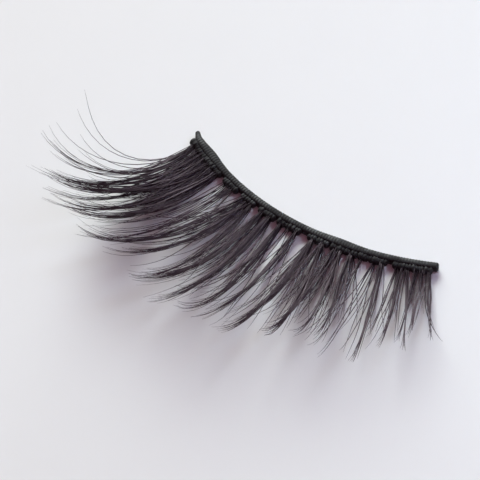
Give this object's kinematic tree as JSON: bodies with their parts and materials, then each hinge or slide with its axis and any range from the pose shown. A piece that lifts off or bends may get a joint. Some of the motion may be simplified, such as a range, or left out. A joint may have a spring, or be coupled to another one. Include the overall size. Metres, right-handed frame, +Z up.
{
  "type": "false eyelash strip",
  "caption": "Strip of false eyelashes: a thin curved band with a fringe of curled, tapered lash clusters, short at the inner corner and long and swept at the outer corner.",
  "frame": {"origin": "underside of the band at its middle, where the two arcs of its bow meet, on the surface that the strip lies on", "axes": "+X along the band's chord towards the inner corner of the eye, -Y out along the lashes, +Z up"},
  "size_m": [0.046, 0.0212, 0.009],
  "materials": {
    "band": "black cotton thread, stiffened with glue, matt",
    "lash": "black synthetic lash fibre, satin"
  },
  "bodies": {
    "root": {"band": "band", "cluster_01": "lash", "cluster_02": "lash", "cluster_03": "lash", "cluster_04": "lash", "cluster_05": "lash", "cluster_06": "lash", "cluster_07": "lash", "cluster_08": "lash", "cluster_09": "lash", "cluster_10": "lash", "cluster_11": "lash", "cluster_12": "lash", "cluster_13": "lash", "cluster_14": "lash", "cluster_15": "lash", "cluster_16": "lash"}
  },
  "joints": []
}
